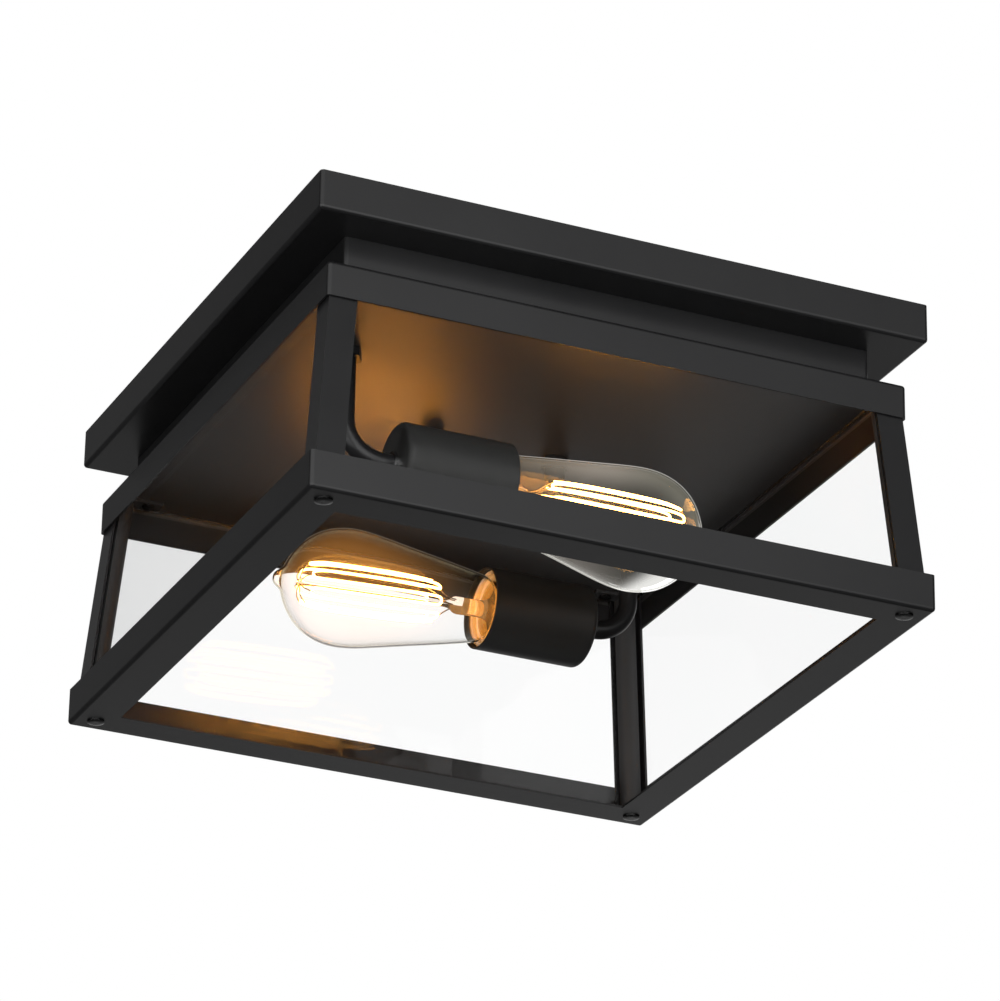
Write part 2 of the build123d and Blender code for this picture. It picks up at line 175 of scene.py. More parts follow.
# Shared effects

def new_group(name, inputs, outputs):
    """Shader node group with inputs of the given kinds, and numbers as its outputs."""
    tree = bpy.data.node_groups.new(name, "ShaderNodeTree")
    for label, kind in inputs.items():
        tree.interface.new_socket(label, in_out="INPUT", socket_type=kind)
    for label in outputs:
        tree.interface.new_socket(label, in_out="OUTPUT", socket_type="NodeSocketFloat")
    return tree, add(tree, "NodeGroupInput").outputs, add(tree, "NodeGroupOutput").inputs


def make_coat_grain():
    """Powder coat: a fine orange-peel height and a broad mottle."""
    tree, given, ends = new_group("coat_grain", {"Vector": "NodeSocketVector", "Peel": "NodeSocketFloat"},
                                  ["Height", "Mottle"])
    peel = noise(tree, given["Vector"], Detail=2.0, Roughness=0.55)
    tree.links.new(given["Peel"], peel.node.inputs["Scale"])
    tree.links.new(peel, ends["Height"])
    tree.links.new(noise(tree, given["Vector"], Scale=14.0, Detail=4.0, Roughness=0.6), ends["Mottle"])
    lay_out(tree)
    return tree


def make_draw_lines():
    """Drawn or brushed metal: long streaks along one axis and a broad tarnish."""
    tree, given, ends = new_group("draw_lines", {"Vector": "NodeSocketVector", "Stretch": "NodeSocketVector"},
                                  ["Streak", "Tarnish"])
    stretched = add(tree, "ShaderNodeVectorMath", operation="MULTIPLY")
    tree.links.new(given["Vector"], stretched.inputs[0])
    tree.links.new(given["Stretch"], stretched.inputs[1])
    streak = noise(tree, stretched.outputs["Vector"], Scale=1.0, Detail=3.0, Roughness=0.6)
    tree.links.new(streak, ends["Streak"])
    tree.links.new(noise(tree, given["Vector"], Scale=90.0, Detail=4.0, Roughness=0.6), ends["Tarnish"])
    lay_out(tree)
    return tree


COAT_GRAIN = make_coat_grain()
DRAW_LINES = make_draw_lines()


# Finishes

def new_material(name):
    """Material with a Principled BSDF, and the Object coordinates for its patterns."""
    material = bpy.data.materials.new(name)
    material.use_nodes = True
    tree = material.node_tree
    place = add(tree, "ShaderNodeTexCoord").outputs["Object"]
    return material, tree, tree.nodes["Principled BSDF"], place


def effect(tree, group, place, **values):
    """Outputs of a shared effect at a place, with the material's own values."""
    node = add(tree, "ShaderNodeGroup", node_tree=group, **values)
    tree.links.new(place, node.inputs["Vector"])
    return node.outputs


PEEL_SCALE, PEEL_STRENGTH, PEEL_DEPTH = 1500.0, 0.06, 0.0002
STREAK_STRETCH, STREAK_STRENGTH = (60.0, 2400.0, 2400.0), 0.05  # streaks lie along X
GRAIN_STRENGTH, FINE_DEPTH = 0.04, 0.0001


def coated(name, shades, rough, ior=1.5):
    """Powder-coated metal between two shades, with a roughness range."""
    material, tree, shader, place = new_material(name)
    grain = effect(tree, COAT_GRAIN, place, Peel=PEEL_SCALE)
    tree.links.new(mottled(tree, grain["Mottle"], *shades), shader.inputs["Base Color"])
    tree.links.new(ranged(tree, grain["Mottle"], 0.0, 1.0, *rough), shader.inputs["Roughness"])
    bump(tree, shader, grain["Height"], PEEL_STRENGTH, PEEL_DEPTH)
    shader.inputs["IOR"].default_value = ior
    lay_out(tree)
    return material


def plate_coated(name, outside, inside, rough_out, rough_in, reach, low):
    """Powder coat, duller inside a square wall, and on the plate closing it painted paler as painted light,
    with a second gloss.
    """
    material, tree, shader, place = new_material(name)
    grain = effect(tree, COAT_GRAIN, place, Peel=PEEL_SCALE)
    away = add(tree, "ShaderNodeVectorMath", operation="ABSOLUTE")
    tree.links.new(place, away.inputs[0])
    sides = axes(tree, away.outputs["Vector"])
    within = reckon(tree, "LESS_THAN", reckon(tree, "MAXIMUM", sides["X"], sides["Y"]), reach * MM)
    above = reckon(tree, "GREATER_THAN", axes(tree, place)["Z"], low * MM)
    plate = reckon(tree, "MULTIPLY", within, above)
    # The plate's paler shades are painted light
    shade = chosen(tree, plate, "RGBA", mottled(tree, grain["Mottle"], *outside),
                   mottled(tree, grain["Mottle"], *inside))
    tree.links.new(shade, shader.inputs["Base Color"])
    dull = chosen(tree, within, "FLOAT", ranged(tree, grain["Mottle"], 0.0, 1.0, *rough_out),
                  ranged(tree, grain["Mottle"], 0.0, 1.0, *rough_in))
    tree.links.new(dull, shader.inputs["Roughness"])
    bump(tree, shader, grain["Height"], PEEL_STRENGTH, PEEL_DEPTH)
    tree.links.new(plate, shader.inputs["Coat Weight"])
    shader.inputs["Coat Roughness"].default_value = rough_in[1]
    lay_out(tree)
    return material


def metal(name, dark, light, rough):
    """Bare metal with draw lines, between two shades."""
    material, tree, shader, place = new_material(name)
    lines = effect(tree, DRAW_LINES, place, Stretch=STREAK_STRETCH)
    tree.links.new(mottled(tree, lines["Tarnish"], dark, light), shader.inputs["Base Color"])
    tree.links.new(ranged(tree, lines["Streak"], 0.0, 1.0, *rough), shader.inputs["Roughness"])
    bump(tree, shader, lines["Streak"], STREAK_STRENGTH, FINE_DEPTH)
    shader.inputs["Metallic"].default_value = 1.0
    lay_out(tree)
    return material


def moulded(name, dark, light, rough, grain_scale, coat):
    """Glaze or black glass with a soft mottle and a fine grain."""
    material, tree, shader, place = new_material(name)
    mottle = noise(tree, place, Scale=120.0, Detail=4.0, Roughness=0.6)
    grain = noise(tree, place, Scale=grain_scale, Detail=2.0)
    tree.links.new(mottled(tree, mottle, dark, light), shader.inputs["Base Color"])
    tree.links.new(ranged(tree, mottle, 0.0, 1.0, *rough), shader.inputs["Roughness"])
    bump(tree, shader, grain, GRAIN_STRENGTH, FINE_DEPTH)
    shader.inputs["Coat Weight"].default_value = coat
    lay_out(tree)
    return material


# How far an envelope's painted pale outline is turned away, and how the painted amber glow at the ends of the
# glass eases in and deepens
PAINTED_OUTLINE_TURNED = (0.78, 1.0)
PAINTED_GLOW_END_EASE, PAINTED_GLOW_END_DEEP = 1.05, 0.62


def facing_mask(tree, low, high):
    """Mask from Layer Weight between two amounts of turning away from the viewer, for glow and reflection
    painted on glass.
    """
    edge = add(tree, "ShaderNodeLayerWeight", Blend=0.5)
    return ranged(tree, edge.outputs["Facing"], low, high, soft=True)


def way_colour(tree, place, way, start, stop, near, far):
    """Colour that goes from near to far between two places along a way, in millimetres."""
    mask = ranged(tree, along_way(tree, place, way), start * MM, stop * MM, soft=True)
    return colours(tree, mask, [(0.0, near), (1.0, far)])


def painted_glass_glow(tree, place, neck, tip, stops, turned, painted_rim, shade=None, painted_floor_reflection=None):
    """Glow painted into an envelope's wall: colours from neck to tip where it is turned so far, a pale
    outline that is a painted reflection, and, where they are given, less painted glow on the low side and a
    painted reflection of the floor."""
    reach = ranged(tree, axes(tree, place)["X"], neck * MM, tip * MM)
    middle = colours(tree, facing_mask(tree, *turned), [(0.0, BLACK), (1.0, WHITE)])
    glow = blended(tree, "MULTIPLY", colours(tree, reach, stops), middle)
    # Less painted glow on the low side
    if shade:
        glow = blended(tree, "MULTIPLY", glow, way_colour(tree, place, *shade))
    # The pale outline is a painted reflection
    outline = colours(tree, facing_mask(tree, *PAINTED_OUTLINE_TURNED), [(0.0, BLACK), (1.0, painted_rim)])
    glow = blended(tree, "ADD", glow, outline)
    # A painted reflection of the floor on the low side
    if painted_floor_reflection:
        glow = blended(tree, "ADD", glow, way_colour(tree, place, *painted_floor_reflection))
    return glow


def painted_glow_end(tree, place, start, amber, rest):
    """Painted amber glow on the glass that lies deeper in the cup than a place along X; the rest keeps its
    own.
    """
    depth = ranged(tree, axes(tree, place)["X"], start * MM, start * MM * PAINTED_GLOW_END_EASE, soft=True)
    streaks = noise(tree, place, Scale=260.0, Detail=3.0)
    deep = tuple(PAINTED_GLOW_END_DEEP * c for c in amber)
    node = add(tree, "ShaderNodeMix", data_type="RGBA", A=(*BLACK, 1.0))
    tree.links.new(depth, node.inputs["Factor"])
    if rest:
        tree.links.new(rest, node.inputs["A"])
    tree.links.new(colours(tree, streaks, [(0.35, deep), (0.65, amber)]), node.inputs["B"])
    return node.outputs["Result"]


def clear_glass(name, tint, smear, ior, through, end=None, glow=None):
    """Clear glass with faint smears, which lets light through to what it covers."""
    material, tree, shader, place = new_material(name)
    film = noise(tree, place, Scale=22.0, Detail=5.0, Roughness=0.65)
    tree.links.new(colours(tree, film, [(0.35, tint), (0.75, WHITE)]), shader.inputs["Base Color"])
    if smear:
        tree.links.new(ranged(tree, film, 0.0, 1.0, 0.0, smear), shader.inputs["Roughness"])
    else:
        shader.inputs["Roughness"].default_value = 0.0
    shader.inputs["Transmission Weight"].default_value = 1.0
    shader.inputs["IOR"].default_value = ior
    # Painted glow and painted reflection on the glass, given as emission
    if end:
        own = painted_glass_glow(tree, place, **glow) if glow else None
        tree.links.new(painted_glow_end(tree, place, *end, own), shader.inputs["Emission Color"])
        shader.inputs["Emission Strength"].default_value = 1.0
        material.cycles.emission_sampling = "NONE"
    # Shadow and reflected rays pass straight through, so that the lit filament lights what is around it
    rays = add(tree, "ShaderNodeLightPath").outputs
    straight = reckon(tree, "MAXIMUM", rays["Is Shadow Ray"], rays["Is Reflection Ray"])
    clear = add(tree, "ShaderNodeBsdfTransparent", Color=(*through, 1.0))
    mix_shaders(tree, straight, shader.outputs["BSDF"], clear.outputs["BSDF"], "Material Output")
    lay_out(tree)
    return material


def glowing(name, base, low, high, rough, strength):
    """Lit filament: hotter and cooler stretches along the wire."""
    material, tree, shader, place = new_material(name)
    heat = noise(tree, place, Scale=130.0, Detail=2.0)
    tree.links.new(colours(tree, heat, [(0.3, low), (0.6, high)]), shader.inputs["Emission Color"])
    tree.links.new(ranged(tree, heat, 0.0, 1.0, *rough), shader.inputs["Roughness"])
    shader.inputs["Base Color"].default_value = (*base, 1.0)
    shader.inputs["Emission Strength"].default_value = strength
    lay_out(tree)
    return material


BLACK_SHADES, BLACK_ROUGH = ((0.009, 0.009, 0.0094), (0.012, 0.012, 0.0124)), (0.29, 0.35)
# The plate's, cups' and columns' shades are paler copies of the black coat's: painted light
PLATE_PAINTED_LIGHT_SHADES, PLATE_ROUGH = ((0.028, 0.0275, 0.027), (0.034, 0.0334, 0.0326)), (0.4, 0.47)
CUP_PAINTED_LIFT_SHADES, CUP_ROUGH, CUP_IOR = ((0.023, 0.023, 0.0225), (0.029, 0.029, 0.0283)), (0.42, 0.5), 1.4
COLUMN_PAINTED_LIFT_SHADES, COLUMN_ROUGH, COLUMN_IOR = ((0.032, 0.032, 0.0322), (0.04, 0.04, 0.0402)), (0.42, 0.5), 1.36
BLACK_COAT = coated("black_coat", BLACK_SHADES, BLACK_ROUGH)
PLATE_COAT = plate_coated("plate_coat", BLACK_SHADES, PLATE_PAINTED_LIGHT_SHADES, BLACK_ROUGH, PLATE_ROUGH,
                          PLATE_REACH, PLATE_LOW)
CUP_COAT = coated("cup_coat", CUP_PAINTED_LIFT_SHADES, CUP_ROUGH, CUP_IOR)
COLUMN_COAT = coated("column_coat", COLUMN_PAINTED_LIFT_SHADES, COLUMN_ROUGH, COLUMN_IOR)
SCREW_BLACK = metal("screw_black", (0.1, 0.1, 0.1), (0.16, 0.16, 0.16), (0.22, 0.34))
ZINC = metal("zinc_plate", (0.5, 0.5, 0.5), (0.72, 0.71, 0.68), (0.24, 0.42))
COLLAR_STEEL = metal("collar_steel", (0.55, 0.55, 0.56), (0.75, 0.75, 0.74), (0.16, 0.3))
GREEN_SCREW = metal("green_screw", (0.02, 0.16, 0.05), (0.06, 0.3, 0.12), (0.25, 0.42))
BRASS = metal("contact_brass", (0.62, 0.42, 0.16), (0.82, 0.62, 0.3), (0.22, 0.4))
CAP_METAL = metal("cap_metal", (0.62, 0.5, 0.28), (0.82, 0.7, 0.45), (0.2, 0.38))
SOLDER = metal("solder", (0.42, 0.42, 0.43), (0.66, 0.66, 0.66), (0.3, 0.5))
WIRE_METAL = metal("support_wire", (0.3, 0.27, 0.24), (0.5, 0.46, 0.42), (0.25, 0.45))
PORCELAIN = moulded("porcelain", (0.78, 0.75, 0.68), (0.88, 0.86, 0.8), (0.12, 0.25), 700.0, 0.5)
CAP_GLASS = moulded("cap_black_glass", (0.008, 0.008, 0.012), (0.03, 0.03, 0.04), (0.08, 0.2), 900.0, 0.6)
FILAMENT = glowing("filament", (0.9, 0.62, 0.3), (1.0, 0.36, 0.06), (1.0, 0.5, 0.12), (0.4, 0.6), 24.0)

# Glass: tint, smear, index, and the share of light that passes straight through a face
PANE_TINT, PANE_SMEAR, PANE_THROUGH = (0.992, 0.997, 0.996), 0.004, (0.97, 0.97, 0.97)
PANE_IOR, BACK_PANE_IOR = 1.16, 1.33
PANE_GLASS = clear_glass("pane_glass", PANE_TINT, PANE_SMEAR, PANE_IOR, PANE_THROUGH)
BACK_PANE_GLASS = clear_glass("back_pane_glass", PANE_TINT, PANE_SMEAR, BACK_PANE_IOR, PANE_THROUGH)
ENVELOPE_TINT, ENVELOPE_IOR = (0.985, 0.98, 0.97), 1.22
ENVELOPE_THROUGH = {"front": (0.44, 0.44, 0.4), "back": (0.68, 0.64, 0.51)}
STEM_TINT, STEM_IOR = (0.82, 0.68, 0.48), 1.2

# Glow and reflection painted on the bulbs' glass: where the painted amber ends lie in the cups, and the
# painted glow, pale outline and floor reflection on the envelopes' walls
ENVELOPE_PAINTED_GLOW_END = {"front": (-26.5, (0.3, 0.12, 0.02)), "back": (26.5, (0.36, 0.13, 0.02))}
STEM_PAINTED_GLOW_END = {"front": (-9.0, (0.36, 0.18, 0.06)), "back": (8.0, (0.2, 0.09, 0.024))}
ENVELOPE_PAINTED_GLOW = {
    "front": {
        "neck": -26.0, "tip": 86.0, "turned": (0.0, 0.55), "painted_rim": (0.6, 0.59, 0.56),
        "stops": [(0.0, (0.03, 0.024, 0.016)), (0.23, (0.062, 0.053, 0.042)), (0.45, (0.087, 0.077, 0.066)),
                  (0.68, (0.048, 0.046, 0.037)), (0.8, (0.036, 0.035, 0.028)), (0.96, (0.062, 0.057, 0.045))],
        # Less painted glow on the low side, and a painted reflection of the floor
        "shade": ((0.0, 0.0, -1.0), 112.0, 124.0, WHITE, (0.32, 0.32, 0.32)),
        "painted_floor_reflection": ((0.6, 0.0, -0.8), 134.0, 142.0, BLACK, (0.19, 0.19, 0.185))},
    "back": {
        "neck": 26.0, "tip": -90.0, "turned": (0.75, 0.1), "painted_rim": (0.2, 0.17, 0.13),
        "stops": [(0.08, BLACK), (0.24, (0.022, 0.009, 0.002)), (0.48, (0.06, 0.023, 0.004)),
                  (1.0, (0.06, 0.022, 0.003))]}}
STEM_GLASS = {lamp: clear_glass(lamp + "_stem_glass", STEM_TINT, 0.0, STEM_IOR, PANE_THROUGH, STEM_PAINTED_GLOW_END[lamp])
              for lamp in LAMPS}
ENVELOPE_GLASS = {lamp: clear_glass(lamp + "_envelope_glass", ENVELOPE_TINT, 0.0, ENVELOPE_IOR,
                                    ENVELOPE_THROUGH[lamp], ENVELOPE_PAINTED_GLOW_END[lamp], ENVELOPE_PAINTED_GLOW[lamp])
                  for lamp in LAMPS}

for names, finish in (
        (["ceiling_pan", "neck_box", "bottom_frame", "arm_lower_nuts"], BLACK_COAT),
        (["cage_tray"], PLATE_COAT),
        ([n for n in nodes if n.startswith("post_")], BLACK_COAT),
        ([n for n in nodes if n.startswith("column_")], COLUMN_COAT),
        (["frame_screws", "foot_screws"], SCREW_BLACK),
        (["crossbar", "crossbar_studs", "stud_nuts", "arm_upper_nuts"], ZINC),
        (["arm_collars"], COLLAR_STEEL),
        (["ground_screw"], GREEN_SCREW),
        (["glass_front", "glass_left", "glass_right"], PANE_GLASS),
        (["glass_back"], BACK_PANE_GLASS),
        (["front_lampholder", "back_lampholder"], PORCELAIN),
        ([n for n in nodes if n.endswith(("screw_shell", "centre_contact"))], BRASS),
        (["front_bulb_cap", "back_bulb_cap"], CAP_METAL),
        (["front_bulb_insulator", "back_bulb_insulator"], CAP_GLASS),
        (["front_bulb_button", "back_bulb_button"], SOLDER),
        (["front_arm", "back_arm", "cap_nuts"], BLACK_COAT),
        (["front_socket_cup", "back_socket_cup"], CUP_COAT),
        (["front_bulb_envelope"], ENVELOPE_GLASS["front"]),
        (["back_bulb_envelope"], ENVELOPE_GLASS["back"]),
        (["front_bulb_stem"], STEM_GLASS["front"]),
        (["back_bulb_stem"], STEM_GLASS["back"]),
        (["front_bulb_wires", "back_bulb_wires"], WIRE_METAL),
        (["front_bulb_filament", "back_bulb_filament"], FILAMENT)):
    for name in names:
        nodes[name].data.materials.clear()
        nodes[name].data.materials.append(finish)


# Mesh helpers

MERGE = 1e-6


def turn_outline(bm, outline, steps):
    """Spins an outline of places along X and radii, in millimetres, about the X axis."""
    verts = [bm.verts.new((x * MM, 0.0, r * MM)) for x, r in outline]
    edges = [bm.edges.new(pair) for pair in zip(verts, verts[1:])]
    bmesh.ops.spin(bm, geom=verts + edges, cent=(0, 0, 0), axis=(1, 0, 0), dvec=(0, 0, 0),
                   angle=2 * math.pi, steps=steps, use_merge=True, use_duplicate=False)
    bmesh.ops.remove_doubles(bm, verts=bm.verts, dist=MERGE)
    bmesh.ops.recalc_face_normals(bm, faces=bm.faces)


def new_object(name, bm, finish):
    """Object at the origin from a finished mesh."""
    mesh = bpy.data.meshes.new(name)
    bm.to_mesh(mesh)
    bm.free()
    mesh.materials.append(finish)
    piece = bpy.data.objects.new(name, mesh)
    bpy.context.scene.collection.objects.link(piece)
    return piece


def add_piece(name, bm, place, finish, body, stands_for, crease):
    """Finished mesh piece on its body, in place of the CAD node that it stands for."""
    bmesh.ops.transform(bm, matrix=place, verts=bm.verts)
    for face in bm.faces:
        face.smooth = True
    for edge in bm.edges:
        edge.smooth = edge.calc_face_angle(0.0) < math.radians(crease)
    piece = new_object(name, bm, finish)
    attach(piece, body)
    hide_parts(stands_for)
    return piece


def round_off(piece, levels):
    """Live subdivision, the same in the viewport and the render."""
    modifier = piece.modifiers.new("round_off", "SUBSURF")
    modifier.levels = levels
    modifier.render_levels = levels


def only(kind, geometry):
    """Vertices or edges among an operator's results."""
    return [g for g in geometry if isinstance(g, kind)]


def at_mm(x, y, z):
    """Move by millimetres."""
    return Matrix.Translation((x * MM, y * MM, z * MM))


HALF_TURN = {"front": Matrix.Identity(4), "back": Matrix.Rotation(math.pi, 4, "Z")}


def lamp_place(lamp):
    """Place of a lamp's fixed pieces: their X axis lies on the lamp's axis."""
    return HALF_TURN[lamp] @ at_mm(0, -LAMP_Y, LAMP_Z)


def bulb_place(lamp):
    """Place of a bulb, modelled along X from its contact, with its droop."""
    droop = Matrix.Rotation(math.radians(DROOP[lamp]), 4, "Y")
    return lamp_place(lamp) @ at_mm(CONTACT_X[lamp] + CAP_MIDDLE, 0, 0) @ droop @ at_mm(-CAP_MIDDLE, 0, 0)


# Bulbs: outlines from the contact towards the tip, in millimetres
ENVELOPE = [(23.4, 11.8), (25.6, 11.95), (27.2, 13.0), (28.4, 14.8), (29.8, 16.5), (31.6, 17.6),
            (34.0, 18.25), (45.0, 20.5), (58.0, 23.0), (72.0, 25.5), (84.0, 27.8), (95.0, 29.9),
            (104.0, 31.2), (112.5, 31.3), (120.5, 29.6), (127.5, 26.4), (133.5, 21.4), (138.0, 15.6),
            (140.6, 11.0), (142.2, 7.9), (143.8, 5.9), (145.6, 4.7), (147.2, 3.7), (148.3, 2.2), (148.7, 0.0)]
ENVELOPE_STEPS, ENVELOPE_WALL = 40, 0.9
STEM = [(23.6, 10.6), (25.0, 8.4), (28.0, 5.4), (33.0, 4.3), (44.0, 4.2), (47.5, 4.0), (49.5, 2.6),
        (50.2, 1.1), (90.0, 1.0), (131.5, 1.0), (132.6, 2.0), (134.2, 2.2), (135.4, 1.4), (135.7, 0.0)]
STEM_STEPS = 24
PRESS, PRESS_FLAT = (43.0, 50.0), (1.0, 0.45, 1.25)  # the stem's flattened end, and how it is squeezed
# The filament's own lean in its bulb, in degrees, from the stem's press on
LEAN, LEAN_X = {"front": -4.5, "back": 0.6}, 50.1
STRANDS, FILAMENT_R, SUPPORT_R = 14, 0.62, 0.32
CAGE = [(61.0, 10.9), (70.0, 11.8), (88.0, 12.4), (108.0, 12.5), (121.0, 12.3), (127.0, 11.5)]
BEND_FAR, BEND_NEAR, BEND_IN, BEND_TURN = 3.4, -2.6, 0.8, 0.12  # narrow bends between strands
LEAD = [(46.0, 3.0), (52.0, 3.4), (57.0, 8.4), (62.0, 11.1)]
FAR_HOOK = [(133.8, 1.4), (134.2, 5.0), (132.4, 9.4), (130.0, 11.3)]
NEAR_HOOK = [(48.6, 2.0), (53.0, 4.5), (59.0, 10.2)]


def lean_turn(lamp):
    """Turn of a filament's own lean."""
    return Matrix.Rotation(math.radians(LEAN[lamp]), 3, "Y")


def leant(lamp, lines):
    """Lines of points, turned about the stem's press from there on."""
    press, turn = Vector((LEAN_X, 0, 0)), lean_turn(lamp)
    return [[press + turn @ (p - press) if p.x > LEAN_X else p for p in line] for line in lines]


def cage_point(strand, x, r):
    """Point of the filament's cage; the gap between the first and last strands is at the top."""
    angle = math.pi / 2 + 2 * math.pi * (strand + 1) / (STRANDS + 1)
    return Vector((x, r * math.cos(angle), r * math.sin(angle)))


def filament_line():
    """One wire that runs to and fro round the cage, with a narrow bend at each end."""
    points = []
    for strand in range(STRANDS):
        run = CAGE if strand % 2 == 0 else CAGE[::-1]
        points += [cage_point(strand, x, r) for x, r in run]
        if strand < STRANDS - 1:
            x, r = run[-1]
            x += BEND_FAR if strand % 2 == 0 else BEND_NEAR
            points += [cage_point(strand + turn, x, r - BEND_IN) for turn in (BEND_TURN, 1 - BEND_TURN)]
    return points


def support_lines():
    """Leads from the stem to the wire's two ends, and hooks at both ends of the rod."""
    wires = [(strand, LEAD) for strand in (0, STRANDS - 1)]
    wires += [(strand + 0.5, FAR_HOOK) for strand in range(0, STRANDS - 1, 2)]
    wires += [(strand + 0.5, NEAR_HOOK) for strand in range(1, STRANDS - 1, 4)]
    return [[cage_point(strand, x, r) for x, r in run] for strand, run in wires]


def tube(name, lines, radius):
    """Mesh of round wires along smooth lines of points in millimetres."""
    curve = bpy.data.curves.new(name, "CURVE")
    curve.dimensions = "3D"
    curve.bevel_depth = radius * MM
    curve.bevel_resolution = 3
    curve.use_fill_caps = True
    for points in lines:
        spline = curve.splines.new("NURBS")
        spline.points.add(len(points) - 1)
        for target, point in zip(spline.points, points):
            target.co = (*(point * MM), 1.0)
        spline.order_u = 3
        spline.use_endpoint_u = True
        spline.resolution_u = 5
    line = bpy.data.objects.new(name + "_line", curve)
    bpy.context.scene.collection.objects.link(line)
    bpy.context.view_layer.update()
    mesh = bpy.data.meshes.new_from_object(line.evaluated_get(bpy.context.evaluated_depsgraph_get()))
    bpy.data.objects.remove(line)
    bpy.data.curves.remove(curve)
    bm = bmesh.new()
    bm.from_mesh(mesh)
    bpy.data.meshes.remove(mesh)
    return bm


SMOOTH_ALL, SMOOTH_WIRE, SMOOTH_ARM = 180.0, 80.0, 40.0  # edges sharper than these degrees stay sharp

for lamp in LAMPS:
    body = lamp + "_bulb_glass"
    bm = bmesh.new()
    turn_outline(bm, ENVELOPE, ENVELOPE_STEPS)
    envelope = add_piece(lamp + "_envelope", bm, bulb_place(lamp), ENVELOPE_GLASS[lamp], body,
                         lamp + "_bulb_envelope", SMOOTH_ALL)
    wall = envelope.modifiers.new("wall", "SOLIDIFY")
    wall.thickness = ENVELOPE_WALL * MM
    wall.offset = -1.0
    round_off(envelope, 2)
    bm = bmesh.new()
    turn_outline(bm, STEM, STEM_STEPS)
    press = [v for v in bm.verts if PRESS[0] * MM < v.co.x < PRESS[1] * MM]
    bmesh.ops.scale(bm, vec=PRESS_FLAT, verts=press)
    bmesh.ops.rotate(bm, cent=(LEAN_X * MM, 0, 0), matrix=lean_turn(lamp),
                     verts=[v for v in bm.verts if v.co.x > LEAN_X * MM])
    stem = add_piece(lamp + "_stem", bm, bulb_place(lamp), STEM_GLASS[lamp], body,
                     lamp + "_bulb_stem", SMOOTH_ALL)
    round_off(stem, 1)
    bm = tube(lamp + "_filament", leant(lamp, [filament_line()]), FILAMENT_R)
    add_piece(lamp + "_filament", bm, bulb_place(lamp), FILAMENT, body,
              lamp + "_bulb_filament", SMOOTH_WIRE)
    bm = tube(lamp + "_support", leant(lamp, support_lines()), SUPPORT_R)
    add_piece(lamp + "_support_wires", bm, bulb_place(lamp), WIRE_METAL, body,
              lamp + "_bulb_wires", SMOOTH_WIRE)

# Arms: a ring drawn down, swept round the bend and drawn into the cup
ARM_SEGMENTS, BEND_STEPS = 40, 20

for lamp in LAMPS:
    bm = bmesh.new()
    ring = bmesh.ops.create_circle(bm, segments=ARM_SEGMENTS, radius=ARM_R * MM, cap_ends=False)["verts"]
    bmesh.ops.translate(bm, vec=Vector((ARM_X, 0, ARM_TOP)) * MM, verts=ring)
    drawn = bmesh.ops.extrude_edge_only(bm, edges=list(bm.edges))["geom"]
    low = only(bmesh.types.BMVert, drawn)
    bmesh.ops.translate(bm, vec=Vector((0, 0, ARM_BEND - ARM_TOP)) * MM, verts=low)
    swept = bmesh.ops.spin(bm, geom=low + only(bmesh.types.BMEdge, drawn), axis=(0, -1, 0), dvec=(0, 0, 0),
                           cent=Vector((ARM_X + ARM_BEND, 0, ARM_BEND)) * MM, angle=math.pi / 2,
                           steps=BEND_STEPS, use_duplicate=False)["geom_last"]
    end = bmesh.ops.extrude_edge_only(bm, edges=only(bmesh.types.BMEdge, swept))["geom"]
    bmesh.ops.translate(bm, vec=Vector((ARM_END - ARM_X - ARM_BEND, 0, 0)) * MM,
                        verts=only(bmesh.types.BMVert, end))
    bmesh.ops.remove_doubles(bm, verts=bm.verts, dist=MERGE)
    bmesh.ops.recalc_face_normals(bm, faces=bm.faces)
    bmesh.ops.solidify(bm, geom=list(bm.faces), thickness=ARM_WALL * MM)
    add_piece(lamp + "_tube", bm, lamp_place(lamp), BLACK_COAT, "fixture",
              lamp + "_arm", SMOOTH_ARM)

# Studio floor: pale to the camera, also through glass, without adding light to the object. Reflections see
# the tent instead, and from below it is clear.
FLOOR_SIDE, FLOOR_Z, FLOOR_PALE = 6.0, -1.6, 0.6
floor_finish, tree, shader, place = new_material("studio_floor")
cloud = noise(tree, place, Scale=2.0, Detail=3.0)
tree.links.new(mottled(tree, cloud, (0.78, 0.78, 0.78), (0.82, 0.82, 0.82)), shader.inputs["Base Color"])
shader.inputs["Roughness"].default_value = 0.8
rays = add(tree, "ShaderNodeLightPath").outputs
viewed = reckon(tree, "MAXIMUM", rays["Is Camera Ray"], rays["Is Transmission Ray"])
tree.links.new(reckon(tree, "MULTIPLY", viewed, FLOOR_PALE), shader.inputs["Emission Strength"])
shader.inputs["Emission Color"].default_value = (*WHITE, 1.0)
floor_finish.cycles.emission_sampling = "NONE"
back_side = add(tree, "ShaderNodeNewGeometry").outputs["Backfacing"]
hidden = reckon(tree, "MAXIMUM", back_side, rays["Glossy Depth"])
see_through = add(tree, "ShaderNodeBsdfTransparent")
mix_shaders(tree, hidden, shader.outputs["BSDF"], see_through.outputs["BSDF"], "Material Output")
lay_out(tree)
bm = bmesh.new()
sheet = bmesh.ops.create_grid(bm, x_segments=1, y_segments=1, size=FLOOR_SIDE)["verts"]
bmesh.ops.translate(bm, vec=(0, 0, FLOOR_Z), verts=sheet)
new_object("floor", bm, floor_finish)

